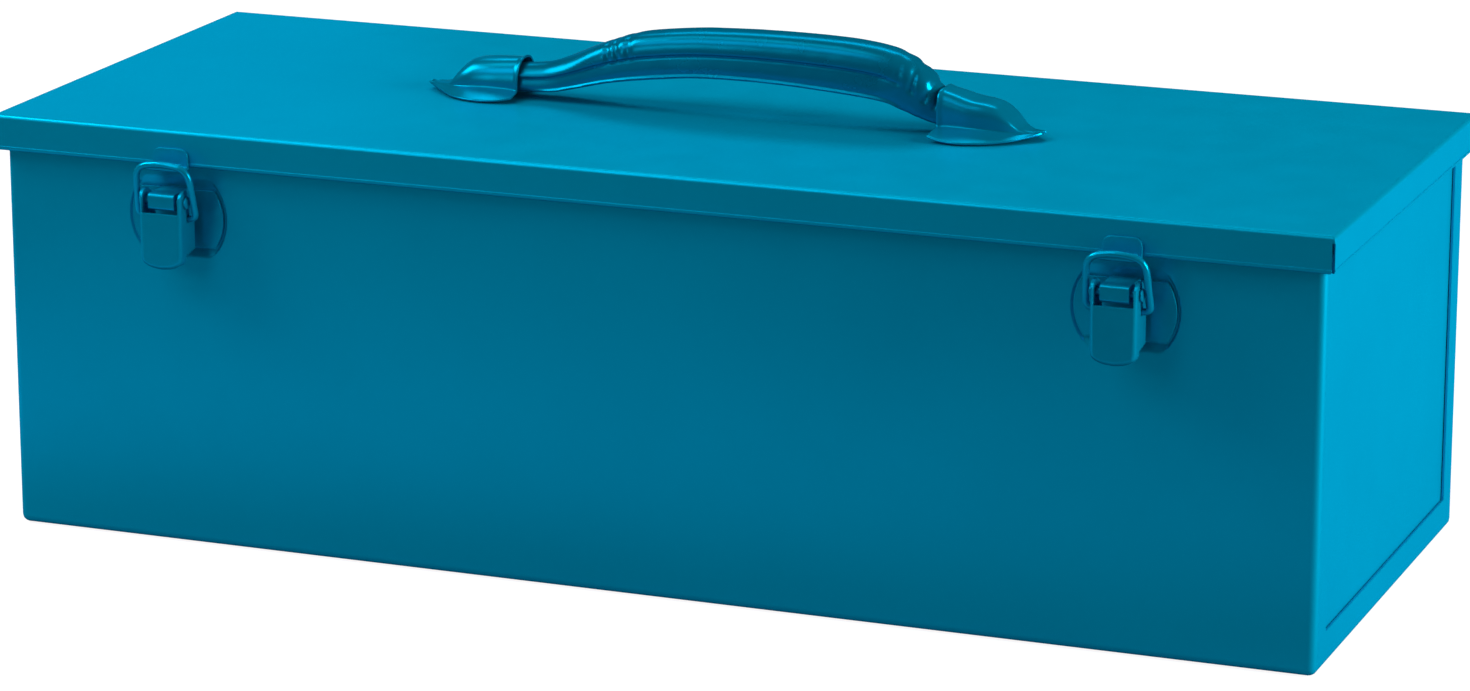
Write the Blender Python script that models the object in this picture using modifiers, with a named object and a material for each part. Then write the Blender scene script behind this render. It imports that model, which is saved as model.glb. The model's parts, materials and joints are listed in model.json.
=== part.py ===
"""Long sheet-steel tool case with a lapped lid, a strap handle and two draw latches.

Metres, +Z up. X runs along the length, -Y is the front with the latches, and the origin is the middle of
the flat bottom. Run with: blender --background --python part.py
"""

import math

import bpy
from mathutils import Matrix, Vector

# Sheet and fits
SHEET = 0.0010
GAP = 0.0003
PIVOT_PLAY = 0.0003

# Case
BODY_LENGTH = 0.500
BODY_DEPTH = 0.192
BODY_BEND = 0.0030
END_FLANGE = 0.0130
PANEL_RETURN = 0.0080
PANEL_BEND = 0.0020

# Lid
LID_TOP = 0.157
RIM_HEIGHT = 0.012
RIM_OVERHANG_X = 0.0035
RIM_OVERHANG_Y = 0.0040
LID_BEND = 0.0015
HEM_HEIGHT = 0.0055
HEM_ROUND = 0.0009
CORNER_SEAM = 0.0012

# Latches
LATCH_FROM_END = 0.070
LATCH_PLATE_DIAMETER = 0.0365
LATCH_PLATE_SHEET = 0.0012
LATCH_PLATE_Z = 0.1242
LATCH_PLATE_HEIGHT = 0.0213
DIMPLE_DIAMETER = 0.0396
DIMPLE_DEPTH = 0.0008
DIMPLE_SLOPE = 0.0008
PIN_REACH = 0.0105
PIN_Z = 0.1323
PIN_RADIUS = 0.0015
PIN_HEAD_RADIUS = 0.0023
PIN_HEAD_THICK = 0.0009
SADDLE_WIDTH = 0.0105
SADDLE_WALL = 0.0013
SADDLE_SLOT = 0.0014
LEVER_WIDTH = 0.0168
LEVER_SHEET = 0.0012
LEVER_REACH = 0.0150
LEVER_BOTTOM = 0.1073
LEVER_TIP_RISE = 0.0041
LEVER_WINDOW_Z = 0.1282
LEVER_EDGE_ROUND = 0.0018
EAR_RADIUS = 0.0045
EAR_BACK_REACH = 0.0038
EAR_BOTTOM = 0.1138
LIP_DEPTH = 0.0040
BAIL_WIRE = 0.0024
BAIL_FOOT_REACH = 0.0085
BAIL_FOOT_Z = 0.1260
BAIL_TOP_Z = 0.1463
BAIL_LOW_WIDTH = 0.0233
BAIL_TOP_WIDTH = 0.0208
BAIL_FOOT_INSIDE = 0.0006
BAIL_TOP_CORNER = 0.0055
BAIL_LOW_CORNER = 0.0026
BAIL_TOP_ARCH = 0.0012
CATCH_WIDTH = 0.0140
CATCH_SHEET = 0.0010
CATCH_REACH = 0.0068
CATCH_PLATE_TOP = 0.1506
CATCH_LEDGE_Z = 0.1432
CATCH_LIP_TOP = 0.1464
CATCH_CORNER = 0.0030

# Handle: x, centre height, half height and half width of the padded strap
GRIP_STATIONS = (
    (-0.0885, 0.1644, 0.0049, 0.0070),
    (-0.0830, 0.1646, 0.0051, 0.0071),
    (-0.0760, 0.1651, 0.0053, 0.0073),
    (-0.0700, 0.1660, 0.0056, 0.0075),
    (-0.0620, 0.1684, 0.0062, 0.0079),
    (-0.0530, 0.1715, 0.0070, 0.0084),
    (-0.0450, 0.1739, 0.0078, 0.0087),
    (-0.0380, 0.1756, 0.0084, 0.0089),
    (-0.0300, 0.1770, 0.0087, 0.0090),
    (-0.0140, 0.1788, 0.0088, 0.0091),
    (0.0030, 0.1795, 0.0090, 0.0092),
    (0.0200, 0.1795, 0.0093, 0.0092),
    (0.0330, 0.1791, 0.0096, 0.0092),
    (0.0450, 0.1785, 0.0098, 0.0092),
    (0.0560, 0.1774, 0.0097, 0.0091),
    (0.0640, 0.1755, 0.0093, 0.0089),
    (0.0705, 0.1721, 0.0085, 0.0085),
    (0.0755, 0.1686, 0.0070, 0.0079),
    (0.0800, 0.1660, 0.0055, 0.0072),
    (0.0860, 0.1648, 0.0050, 0.0070),
)
GRIP_AROUND = 20
CORE_WIDTH = 0.0080
CORE_THICK = 0.0010
CORE_FOOT_LENGTH = 0.0100
CORE_RAMP = ((0.0045, 0.60), (0.0090, 0.18))
RIVET_INSET = 0.0050
RIVET_RADIUS = 0.0019
RIVET_HEAD_RADIUS = 0.0032
RIVET_HEAD_THICK = 0.0012
BACKING_LENGTH = 0.030
BACKING_WIDTH = 0.024
BACKING_THICK = 0.0012
BACKING_CORNER = 0.0040
CAP_SHEET = 0.0008
CAP_ARCH_POINTS = 12
CAP_SQUARENESS = 0.60
# Caps: distance from the mouth, crown, crease height, crease half width, flange half width, edge lift
CAP_LEFT_MOUTH = -0.0832
CAP_LEFT = (
    (0.0000, 0.0148, 0.0032, 0.0088, 0.0150, 0.0012),
    (0.0012, 0.0144, 0.0033, 0.0088, 0.0160, 0.0009),
    (0.0050, 0.0142, 0.0036, 0.0090, 0.0178, 0.0003),
    (0.0120, 0.0138, 0.0038, 0.0094, 0.0188, 0.0000),
    (0.0185, 0.0130, 0.0036, 0.0092, 0.0176, 0.0000),
    (0.0225, 0.0112, 0.0033, 0.0086, 0.0158, 0.0000),
    (0.0260, 0.0078, 0.0030, 0.0076, 0.0136, 0.0001),
    (0.0290, 0.0042, 0.0026, 0.0060, 0.0108, 0.0003),
    (0.0320, 0.0029, 0.0023, 0.0044, 0.0080, 0.0007),
    (0.0355, 0.0024, 0.0020, 0.0026, 0.0046, 0.0012),
    (0.0388, 0.0024, 0.0021, 0.0007, 0.0011, 0.0018),
)
CAP_RIGHT_MOUTH = 0.0810
CAP_RIGHT = (
    (0.0000, 0.0162, 0.0036, 0.0089, 0.0196, 0.0016),
    (0.0015, 0.0161, 0.0036, 0.0089, 0.0200, 0.0011),
    (0.0060, 0.0150, 0.0038, 0.0092, 0.0206, 0.0003),
    (0.0120, 0.0134, 0.0038, 0.0096, 0.0208, 0.0000),
    (0.0180, 0.0126, 0.0036, 0.0094, 0.0190, 0.0000),
    (0.0225, 0.0112, 0.0034, 0.0088, 0.0166, 0.0000),
    (0.0265, 0.0082, 0.0031, 0.0078, 0.0140, 0.0002),
    (0.0300, 0.0046, 0.0027, 0.0060, 0.0108, 0.0005),
    (0.0330, 0.0032, 0.0025, 0.0040, 0.0074, 0.0010),
    (0.0360, 0.0030, 0.0026, 0.0022, 0.0040, 0.0016),
    (0.0380, 0.0031, 0.0028, 0.0007, 0.0011, 0.0022),
)

# Rear hinges, which the photo does not show
HINGE_FROM_END = 0.080
HINGE_WIDTH = 0.040
HINGE_MIDDLE = 0.018
HINGE_LEAF = 0.0010
HINGE_LEAF_DROP = 0.020
HINGE_BARREL = 0.0026
HINGE_PIN = 0.0013
HINGE_PIN_PAST = 0.0006
HINGE_BELOW_RIM = 0.0030

# Sizes that follow from those above
FRONT = -BODY_DEPTH / 2
BACK = BODY_DEPTH / 2
END = BODY_LENGTH / 2
LATCH_X = END - LATCH_FROM_END
HINGE_X = END - HINGE_FROM_END
BODY_TOP = LID_TOP - SHEET - GAP
RIM_BOTTOM = LID_TOP - RIM_HEIGHT
RIM_END = END + RIM_OVERHANG_X
RIM_SIDE = BACK + RIM_OVERHANG_Y
PIN_Y = FRONT - PIN_REACH
BAIL_FOOT_Y = FRONT - BAIL_FOOT_REACH
CATCH_FACE = -RIM_SIDE - GAP
CATCH_LIP_FACE = CATCH_FACE - CATCH_REACH
BAIL_TOP_Y = CATCH_LIP_FACE - GAP - BAIL_WIRE / 2
HINGE_Y = BACK + GAP + HINGE_BARREL
HINGE_Z = RIM_BOTTOM - HINGE_BELOW_RIM
CORE_FOOT_Z = LID_TOP + GAP + CORE_THICK / 2

# How far cutters run past what they cut, and how finely round shapes are divided
PAST = BODY_LENGTH / 5
ALONG = 0.9
ROUND_SEGMENTS = 20
DISC_SEGMENTS = 48
EAR_SEGMENTS = 24
TIP_STEPS = 14
HEAD_CROWN = 0.65


def start_scene():
    """Empties the scene and returns the collections for parts and for helpers."""
    for obj in list(bpy.data.objects):
        bpy.data.objects.remove(obj, do_unlink=True)
    parts = bpy.data.collections.new("tool_case")
    helpers = bpy.data.collections.new("cutters")
    for collection in (parts, helpers):
        bpy.context.scene.collection.children.link(collection)
    helpers.hide_render = True
    return parts, helpers


PARTS, HELPERS = start_scene()


def paint(name, colour, roughness, metallic):
    """One Principled material."""
    material = bpy.data.materials.new(name)
    material.use_nodes = True
    shader = material.node_tree.nodes["Principled BSDF"]
    shader.inputs["Base Color"].default_value = (*colour, 1.0)
    shader.inputs["Roughness"].default_value = roughness
    shader.inputs["Metallic"].default_value = metallic
    return material


TEAL_ENAMEL = paint("teal_enamel", (0.0, 0.26, 0.42), 0.35, 0.0)
TEAL_VINYL = paint("teal_vinyl", (0.0, 0.20, 0.33), 0.25, 0.0)
SPRING_STEEL = paint("spring_steel", (0.42, 0.42, 0.44), 0.35, 1.0)
ZINC_PLATE = paint("zinc_plate", (0.60, 0.61, 0.62), 0.40, 1.0)


def add(name, vertices, faces, material=None):
    """A mesh object: a part if it has a material, otherwise a helper for a Boolean."""
    mesh = bpy.data.meshes.new(name)
    mesh.from_pydata([tuple(point) for point in vertices], [], faces)
    obj = bpy.data.objects.new(name, mesh)
    if material is None:
        HELPERS.objects.link(obj)
        obj.hide_render = True
        obj.display_type = "WIRE"
    else:
        PARTS.objects.link(obj)
        mesh.materials.append(material)
    return obj


def loft(name, rings, material=None):
    """Closed rings of equal length, joined in order, with both ends filled."""
    count = len(rings[0])
    vertices = [point for ring in rings for point in ring]
    faces = [tuple(reversed(range(count)))]
    for row in range(len(rings) - 1):
        for column in range(count):
            a = row * count + column
            b = row * count + (column + 1) % count
            faces.append((a, b, b + count, a + count))
    last = (len(rings) - 1) * count
    faces.append(tuple(range(last, last + count)))
    return add(name, vertices, faces, material)


def box(name, low, high, material=None):
    """An upright box between two corners."""
    x0, y0, z0 = low
    x1, y1, z1 = high
    rings = [[(x0, y0, z), (x1, y0, z), (x1, y1, z), (x0, y1, z)] for z in (z0, z1)]
    return loft(name, rings, material)


def along_x(name, outline, start, end, material=None):
    """A (y, z) outline, anticlockwise seen from +X, drawn out along X."""
    rings = [[(x, y, z) for y, z in outline] for x in (start, end)]
    return loft(name, rings, material)


def along_y(name, outline, start, end, material=None):
    """An (x, z) outline, anticlockwise seen from -Y, drawn out along Y from front to back."""
    rings = [[(x, y, z) for x, z in reversed(outline)] for y in (start, end)]
    return loft(name, rings, material)


def circle(radius, segments=ROUND_SEGMENTS):
    """Points of a circle, anticlockwise."""
    turns = [2 * math.pi * step / segments for step in range(segments)]
    return [(radius * math.cos(turn), radius * math.sin(turn)) for turn in turns]


def rod_x(name, radius, start, end, y, z, material=None):
    """A round bar along X."""
    outline = [(y + a, z + b) for a, b in circle(radius)]
    return along_x(name, outline, start, end, material)


def disc_y(name, x, z, front, back, front_radius, back_radius, material=None):
    """A round plate across Y, which may taper."""
    rings = []
    for y, radius in ((front, front_radius), (back, back_radius)):
        rings.append([(x + a, y, z - b) for a, b in circle(radius, DISC_SEGMENTS)])
    return loft(name, rings, material)


def turned(name, profile, material):
    """A (radius, height) profile turned about Z, from its lower to its upper end on the axis."""
    vertices = [(radius, 0.0, height) for radius, height in profile]
    edges = [(step, step + 1) for step in range(len(profile) - 1)]
    obj = add(name, [], [], material)
    obj.data.from_pydata(vertices, edges, [])
    screw = obj.modifiers.new("turn", "SCREW")
    screw.steps = ROUND_SEGMENTS
    screw.render_steps = ROUND_SEGMENTS
    screw.use_merge_vertices = True
    screw.merge_threshold = 0.00001
    screw.use_normal_flip = True
    return obj


def boolean(obj, other, operation):
    """Adds an exact Boolean with another object."""
    modifier = obj.modifiers.new(other.name, "BOOLEAN")
    modifier.operation = operation
    modifier.solver = "EXACT"
    modifier.object = other
    return obj


def cut(obj, *others):
    for other in others:
        boolean(obj, other, "DIFFERENCE")


def join(obj, *others):
    for other in others:
        boolean(obj, other, "UNION")


def round_edges(obj, radius, chosen, segments=4):
    """Rounds the edges that chosen(middle, direction) accepts, with one Bevel modifier."""
    mesh = obj.data
    weights = mesh.attributes.new("bevel_weight_edge", "FLOAT", "EDGE")
    for edge in mesh.edges:
        first, second = (mesh.vertices[index].co for index in edge.vertices)
        direction = (second - first).normalized()
        weights.data[edge.index].value = float(chosen((first + second) / 2, direction))
    bevel = obj.modifiers.new("bend", "BEVEL")
    bevel.limit_method = "WEIGHT"
    bevel.width = radius
    bevel.segments = segments


def turns_on(name, location, pieces):
    """An empty on a joint's axis, which carries the pieces that turn there."""
    empty = bpy.data.objects.new(name, None)
    PARTS.objects.link(empty)
    empty.location = location
    empty.empty_display_size = 0.02
    for piece in pieces:
        piece.parent = empty
        piece.matrix_parent_inverse = Matrix.Translation(-Vector(location))
    return empty


def below_top(top):
    """Chooses every edge of a box apart from those of its top face."""
    return lambda middle, direction: middle.z < top - GAP


def build_body():
    """Front, bottom and back panels with end flanges, and the two end panels set in behind them."""
    above = BODY_TOP + PAST
    wrap = box("body_wrap", (-END, FRONT, 0), (END, BACK, above), TEAL_ENAMEL)
    round_edges(wrap, BODY_BEND, below_top(above))
    inside_end = END - SHEET
    inside_side = BACK - SHEET
    inside_top = above + PAST
    inside = box(
        "body_inside", (-inside_end, -inside_side, SHEET), (inside_end, inside_side, inside_top)
    )
    round_edges(inside, BODY_BEND - SHEET, below_top(inside_top))
    window_side = BACK - END_FLANGE
    window = box(
        "end_window", (-END - PAST, -window_side, END_FLANGE), (END + PAST, window_side, inside_top)
    )
    trim = box("body_trim", (-END - PAST, FRONT - PAST, BODY_TOP), (END + PAST, BACK + PAST, inside_top))
    cut(wrap, inside, window, trim)
    for name, x in (("left", -LATCH_X), ("right", LATCH_X)):
        floor = FRONT + DIMPLE_DEPTH
        radius = DIMPLE_DIAMETER / 2
        bulge = disc_y(
            f"dimple_bulge_{name}", x, LATCH_PLATE_Z, floor, floor + SHEET, radius + SHEET, radius
        )
        join(wrap, bulge)
        past = DIMPLE_SLOPE / DIMPLE_DEPTH * SHEET
        mouth = FRONT - SHEET
        press = disc_y(
            f"dimple_press_{name}", x, LATCH_PLATE_Z, mouth, floor, radius + past, radius - DIMPLE_SLOPE
        )
        cut(wrap, press)
    for name, side in (("left", -1), ("right", 1)):
        outer = END - SHEET - GAP
        reach = inside_side - GAP
        low = SHEET + GAP
        ends = sorted((side * outer, side * (outer - PANEL_RETURN)))
        panel = box(f"end_panel_{name}", (ends[0], -reach, low), (ends[1], reach, above), TEAL_ENAMEL)
        round_edges(panel, PANEL_BEND, outward_edges(side * outer, low, reach, above))
        inner = outer - SHEET
        hollow_ends = sorted((side * inner, side * (inner - PAST)))
        hollow = box(
            f"end_panel_hollow_{name}",
            (hollow_ends[0], SHEET - reach, low + SHEET),
            (hollow_ends[1], reach - SHEET, inside_top),
        )
        round_edges(
            hollow,
            PANEL_BEND - SHEET,
            outward_edges(side * inner, low + SHEET, reach - SHEET, inside_top),
        )
        cut(panel, hollow, trim)


def outward_edges(face, low, reach, top):
    """Chooses a pan's bends: round its outward face, and its two bottom corners along X."""

    def chosen(middle, direction):
        on_face = abs(middle.x - face) < GAP and middle.z < top - GAP
        bottom_corner = abs(direction.x) > ALONG and middle.z < low + GAP and abs(middle.y) > reach - GAP
        return on_face or bottom_corner

    return chosen


def rim_profile(steps=4):
    """(inset, height) up the outside of the lid's rim: rounded hem, straight side, rounded top fold."""
    turns = [math.pi / 2 * step / steps for step in range(steps + 1)]
    profile = []
    for turn in turns:
        profile.append((HEM_ROUND * (1 - math.sin(turn)), RIM_BOTTOM + HEM_ROUND * (1 - math.cos(turn))))
    for turn in turns:
        profile.append((LID_BEND * (1 - math.cos(turn)), LID_TOP - LID_BEND * (1 - math.sin(turn))))
    return profile


def build_lid():
    """A shallow pan whose rim is folded double at the bottom and open at its four corner seams."""
    rings = []
    for inset, z in rim_profile():
        x = RIM_END - inset
        y = RIM_SIDE - inset
        rings.append([(-x, -y, z), (x, -y, z), (x, y, z), (-x, y, z)])
    lid = loft("lid", rings, TEAL_ENAMEL)
    fold = 2 * SHEET
    under = RIM_BOTTOM - PAST
    high = box(
        "lid_inside",
        (SHEET - RIM_END, SHEET - RIM_SIDE, RIM_BOTTOM + HEM_HEIGHT),
        (RIM_END - SHEET, RIM_SIDE - SHEET, LID_TOP - SHEET),
    )
    low = box(
        "hem_inside",
        (fold - RIM_END, fold - RIM_SIDE, under),
        (RIM_END - fold, RIM_SIDE - fold, RIM_BOTTOM + HEM_HEIGHT + SHEET),
    )
    cut(lid, high, low)
    reach = 4 * SHEET
    for number, (x, y) in enumerate(((-1, -1), (1, -1), (1, 1), (-1, 1))):
        seam = box(
            f"corner_seam_{number}",
            (-reach, -CORNER_SEAM / 2, under),
            (reach, CORNER_SEAM / 2, LID_TOP - LID_BEND - SHEET),
        )
        seam.rotation_euler.z = math.atan2(y, x)
        seam.location = (x * RIM_END, y * RIM_SIDE, 0)
        cut(lid, seam)
    for name, x in rivet_places():
        hole = cylinder_z(f"lid_hole_{name}", x, RIVET_RADIUS + GAP, LID_TOP - SHEET * 3, LID_TOP + SHEET * 3)
        cut(lid, hole)
    return lid


def cylinder_z(name, x, radius, low, high):
    """An upright round cutter on the case's middle plane."""
    return loft(name, [[(x + a, b, z) for a, b in circle(radius)] for z in (low, high)])


def rivet_places():
    """Where each handle rivet stands along X."""
    first, last = core_ends()
    return (("left", first + RIVET_INSET), ("right", last - RIVET_INSET))


def core_ends():
    """The two ends of the steel strip along X."""
    run = CORE_RAMP[-1][0] + CORE_FOOT_LENGTH + RIVET_INSET / 2
    return GRIP_STATIONS[0][0] - run, GRIP_STATIONS[-1][0] + run


def sections(path, ring_at):
    """Rings across an (x, z) path. ring_at(index) gives (across, up) points in the ring's own plane."""
    rings = []
    for index, (x, z) in enumerate(path):
        x0, z0 = path[max(index - 1, 0)]
        x1, z1 = path[min(index + 1, len(path) - 1)]
        length = math.hypot(x1 - x0, z1 - z0)
        up_x = -(z1 - z0) / length
        up_z = (x1 - x0) / length
        rings.append([(x + up_x * up, across, z + up_z * up) for across, up in ring_at(index)])
    return rings


def rectangle(width, height):
    """Corners of a rectangle about its middle, anticlockwise."""
    a = width / 2
    b = height / 2
    return [(-a, -b), (a, -b), (a, b), (-a, b)]


def build_handle():
    """Padded strap over a spring-steel strip, riveted to the lid at each end under a pressed cap."""
    grip_path = [(x, z) for x, z, _, _ in GRIP_STATIONS]

    def pad(index):
        _, _, half_height, half_width = GRIP_STATIONS[index]
        return [(a * half_width, b * half_height) for a, b in circle(1.0, GRIP_AROUND)]

    grip = loft("handle_grip", sections(grip_path, pad), TEAL_VINYL)
    tunnel_path = list(grip_path)
    past = 2 * SHEET
    (x0, z0), (x1, z1) = grip_path[0], grip_path[1]
    tunnel_path.insert(0, (x0 - past, z0 - past * (z1 - z0) / (x1 - x0)))
    (x0, z0), (x1, z1) = grip_path[-2], grip_path[-1]
    tunnel_path.append((x1 + past, z1 + past * (z1 - z0) / (x1 - x0)))
    slot = rectangle(CORE_WIDTH + 2 * GAP, CORE_THICK + 2 * GAP)
    tunnel = loft("grip_tunnel", sections(tunnel_path, lambda index: slot))
    cut(grip, tunnel)

    first, last = core_ends()
    left_end, right_end = grip_path[0], grip_path[-1]
    left_drop = left_end[1] - CORE_FOOT_Z
    right_drop = right_end[1] - CORE_FOOT_Z
    left_ramp = [(left_end[0] - run, CORE_FOOT_Z + part * left_drop) for run, part in CORE_RAMP]
    right_ramp = [(right_end[0] + run, CORE_FOOT_Z + part * right_drop) for run, part in CORE_RAMP]
    left_foot = left_ramp[-1][0] - RIVET_INSET / 2
    right_foot = right_ramp[-1][0] + RIVET_INSET / 2
    core_path = [(first, CORE_FOOT_Z), (left_foot, CORE_FOOT_Z)] + left_ramp[::-1] + grip_path
    core_path += right_ramp + [(right_foot, CORE_FOOT_Z), (last, CORE_FOOT_Z)]
    strip = rectangle(CORE_WIDTH, CORE_THICK)
    core = loft("handle_core", sections(core_path, lambda index: strip), SPRING_STEEL)

    pieces = [grip, core]
    for name, x in rivet_places():
        hole_radius = RIVET_RADIUS + GAP
        strip_top = CORE_FOOT_Z + CORE_THICK / 2
        cut(core, cylinder_z(f"strip_hole_{name}", x, hole_radius, LID_TOP - SHEET, strip_top + SHEET))
        backing_top = LID_TOP - SHEET - GAP
        backing_low = backing_top - BACKING_THICK
        half = BACKING_LENGTH / 2
        side = BACKING_WIDTH / 2
        backing = box(
            f"handle_backing_{name}",
            (x - half, -side, backing_low),
            (x + half, side, backing_top),
            ZINC_PLATE,
        )
        round_edges(backing, BACKING_CORNER, lambda middle, direction: abs(direction.z) > ALONG)
        hole = cylinder_z(f"backing_hole_{name}", x, hole_radius, backing_low - SHEET, backing_top + SHEET)
        cut(backing, hole)
        head_low = strip_top + GAP
        tail_top = backing_low - GAP
        crown = RIVET_HEAD_RADIUS * HEAD_CROWN
        profile = (
            (0.0, tail_top - RIVET_HEAD_THICK),
            (crown, tail_top - RIVET_HEAD_THICK),
            (RIVET_HEAD_RADIUS, tail_top - RIVET_HEAD_THICK / 3),
            (RIVET_HEAD_RADIUS, tail_top),
            (RIVET_RADIUS, tail_top),
            (RIVET_RADIUS, head_low),
            (RIVET_HEAD_RADIUS, head_low),
            (RIVET_HEAD_RADIUS, head_low + RIVET_HEAD_THICK / 3),
            (crown, head_low + RIVET_HEAD_THICK),
            (0.0, head_low + RIVET_HEAD_THICK),
        )
        rivet = turned(f"handle_rivet_{name}", profile, ZINC_PLATE)
        rivet.location.x = x
        pieces += [backing, rivet]
    pieces.append(cap("handle_cap_left", CAP_LEFT_MOUTH, -1, CAP_LEFT))
    pieces.append(cap("handle_cap_right", CAP_RIGHT_MOUTH, 1, CAP_RIGHT))
    return pieces


def arch(half_width, foot, crown):
    """A squarish arch from its +Y foot over the crown to its -Y foot."""
    points = []
    for step in range(CAP_ARCH_POINTS + 1):
        turn = math.pi * step / CAP_ARCH_POINTS
        across = math.copysign(abs(math.cos(turn)) ** CAP_SQUARENESS, math.cos(turn))
        up = math.sin(turn) ** CAP_SQUARENESS if 0 < step < CAP_ARCH_POINTS else 0.0
        points.append((half_width * across, foot + (crown - foot) * up))
    return points


def cap(name, mouth, side, stations):
    """A pressed end cap: squarish dome, sloping leaf-shaped flange and a pointed tip lifted a little."""
    rest = LID_TOP + GAP
    rings = []
    for run, crown, crease, half_width, flange, lift in stations:
        outer = [(flange, lift + CAP_SHEET)]
        outer += arch(half_width, crease, crown)
        outer.append((-flange, lift + CAP_SHEET))
        inner_half = max(half_width - CAP_SHEET, half_width / 2)
        inner = [(flange, lift)]
        inner += arch(inner_half, crease - CAP_SHEET, crown - CAP_SHEET)
        inner.append((-flange, lift))
        loop = outer + inner[::-1]
        rings.append([(mouth + side * run, y, rest + z) for y, z in loop])
    if side < 0:
        rings.reverse()
    return loft(name, rings, TEAL_ENAMEL)


def build_latch(name, x):
    """Base plate with a pinched saddle, pin, lever and wire bail of one draw latch."""
    floor = FRONT + DIMPLE_DEPTH - GAP
    face = floor - LATCH_PLATE_SHEET
    radius = LATCH_PLATE_DIAMETER / 2
    plate = disc_y(f"latch_base_{name}", x, LATCH_PLATE_Z, face, floor, radius, radius, TEAL_ENAMEL)
    for end, sign in (("top", 1), ("bottom", -1)):
        edge = LATCH_PLATE_Z + sign * LATCH_PLATE_HEIGHT / 2
        levels = sorted((edge, edge + sign * PAST))
        clip = box(
            f"plate_clip_{end}_{name}",
            (x - PAST, FRONT - PAST, levels[0]),
            (x + PAST, FRONT + PAST, levels[1]),
        )
        cut(plate, clip)
    bore = PIN_RADIUS + PIVOT_PLAY
    wrap = bore + SADDLE_WALL
    half = SADDLE_WIDTH / 2
    saddle = box(
        f"saddle_{name}",
        (x - half, PIN_Y - wrap, PIN_Z - wrap),
        (x + half, face + LATCH_PLATE_SHEET / 2, PIN_Z + wrap),
    )
    nose = PIN_Y - wrap
    round_edges(saddle, SADDLE_WALL, lambda middle, d: abs(d.x) > ALONG and middle.y < nose + GAP)
    join(plate, saddle)
    cut(plate, rod_x(f"saddle_bore_{name}", bore, x - PAST, x + PAST, PIN_Y, PIN_Z))
    slot = box(
        f"saddle_slot_{name}",
        (x - PAST, PIN_Y, PIN_Z - SADDLE_SLOT / 2),
        (x + PAST, face - SADDLE_WALL, PIN_Z + SADDLE_SLOT / 2),
    )
    cut(plate, slot)

    half = LEVER_WIDTH / 2
    head_at = half + PIVOT_PLAY
    head_end = head_at + PIN_HEAD_THICK
    pin_profile = (
        (0.0, -head_end),
        (PIN_HEAD_RADIUS * HEAD_CROWN, -head_end),
        (PIN_HEAD_RADIUS, PIN_HEAD_THICK / 2 - head_end),
        (PIN_HEAD_RADIUS, -head_at),
        (PIN_RADIUS, -head_at),
        (PIN_RADIUS, head_at),
        (PIN_HEAD_RADIUS, head_at),
        (PIN_HEAD_RADIUS, head_end - PIN_HEAD_THICK / 2),
        (PIN_HEAD_RADIUS * HEAD_CROWN, head_end),
        (0.0, head_end),
    )
    pin = turned(f"latch_pin_{name}", pin_profile, TEAL_ENAMEL)
    pin.rotation_euler.y = math.pi / 2
    pin.location = (x, PIN_Y, PIN_Z)

    lever = build_lever(name, x)
    bail = build_bail(name, x)
    turns_on(f"lever_axis_{name}", (x, PIN_Y, PIN_Z), [lever])
    turns_on(f"bail_axis_{name}", (x, BAIL_FOOT_Y, BAIL_FOOT_Z), [bail])


def build_lever(name, x):
    """A pressed lever: front plate with a round lower end, two ears, and a window between the ears."""
    half = LEVER_WIDTH / 2
    front = FRONT - LEVER_REACH
    top = PIN_Z + PAST
    outline = [(x + half, top), (x - half, top)]
    for step in range(TIP_STEPS + 1):
        turn = math.pi * step / TIP_STEPS
        across = -math.copysign(abs(math.cos(turn)) ** CAP_SQUARENESS, math.cos(turn))
        down = math.sin(turn) ** CAP_SQUARENESS if 0 < step < TIP_STEPS else 0.0
        outline.append((x + half * across, LEVER_BOTTOM + LEVER_TIP_RISE * (1 - down)))
    lever = along_y(f"latch_lever_{name}", outline, front, FRONT + PAST, TEAL_ENAMEL)
    round_edges(
        lever, LEVER_EDGE_ROUND, lambda middle, d: middle.y < front + GAP and middle.z < top - GAP
    )
    below = LEVER_BOTTOM - PAST
    back = FRONT - EAR_BACK_REACH
    lip = front + LIP_DEPTH
    ear = [(front - PAST, below), (lip, below), (lip, EAR_BOTTOM - LEVER_SHEET), (back, EAR_BOTTOM)]
    ear.append((back, BAIL_FOOT_Z))
    ear += [(PIN_Y + a, PIN_Z + b) for a, b in circle(EAR_RADIUS, EAR_SEGMENTS)[: EAR_SEGMENTS // 2 + 1]]
    ear.append((front - PAST, PIN_Z))
    boolean(lever, along_x(f"ear_outline_{name}", ear, x - PAST, x + PAST), "INTERSECT")
    inner = half - LEVER_SHEET
    channel = box(
        f"lever_channel_{name}", (x - inner, front + LEVER_SHEET, below), (x + inner, FRONT + PAST, top)
    )
    window = box(
        f"lever_window_{name}", (x - inner, front - PAST, LEVER_WINDOW_Z), (x + inner, FRONT + PAST, top)
    )
    pin_hole = rod_x(f"ear_pin_hole_{name}", PIN_RADIUS + PIVOT_PLAY, x - PAST, x + PAST, PIN_Y, PIN_Z)
    bail_hole = rod_x(
        f"ear_bail_hole_{name}", BAIL_WIRE / 2 + PIVOT_PLAY, x - PAST, x + PAST, BAIL_FOOT_Y, BAIL_FOOT_Z
    )
    cut(lever, channel, window, pin_hole, bail_hole)
    return lever


def rounded_path(corners, radii, steps=6):
    """A polyline with its inner corners rounded by quadratic curves that start a radius away."""
    path = [Vector(corners[0])]
    for index in range(1, len(corners) - 1):
        before, corner, after = (Vector(corners[index + shift]) for shift in (-1, 0, 1))
        start = corner + (before - corner).normalized() * radii[index]
        end = corner + (after - corner).normalized() * radii[index]
        for step in range(steps + 1):
            part = step / steps
            near = start.lerp(corner, part)
            far = corner.lerp(end, part)
            path.append(near.lerp(far, part))
    path.append(Vector(corners[-1]))
    return path


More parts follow.
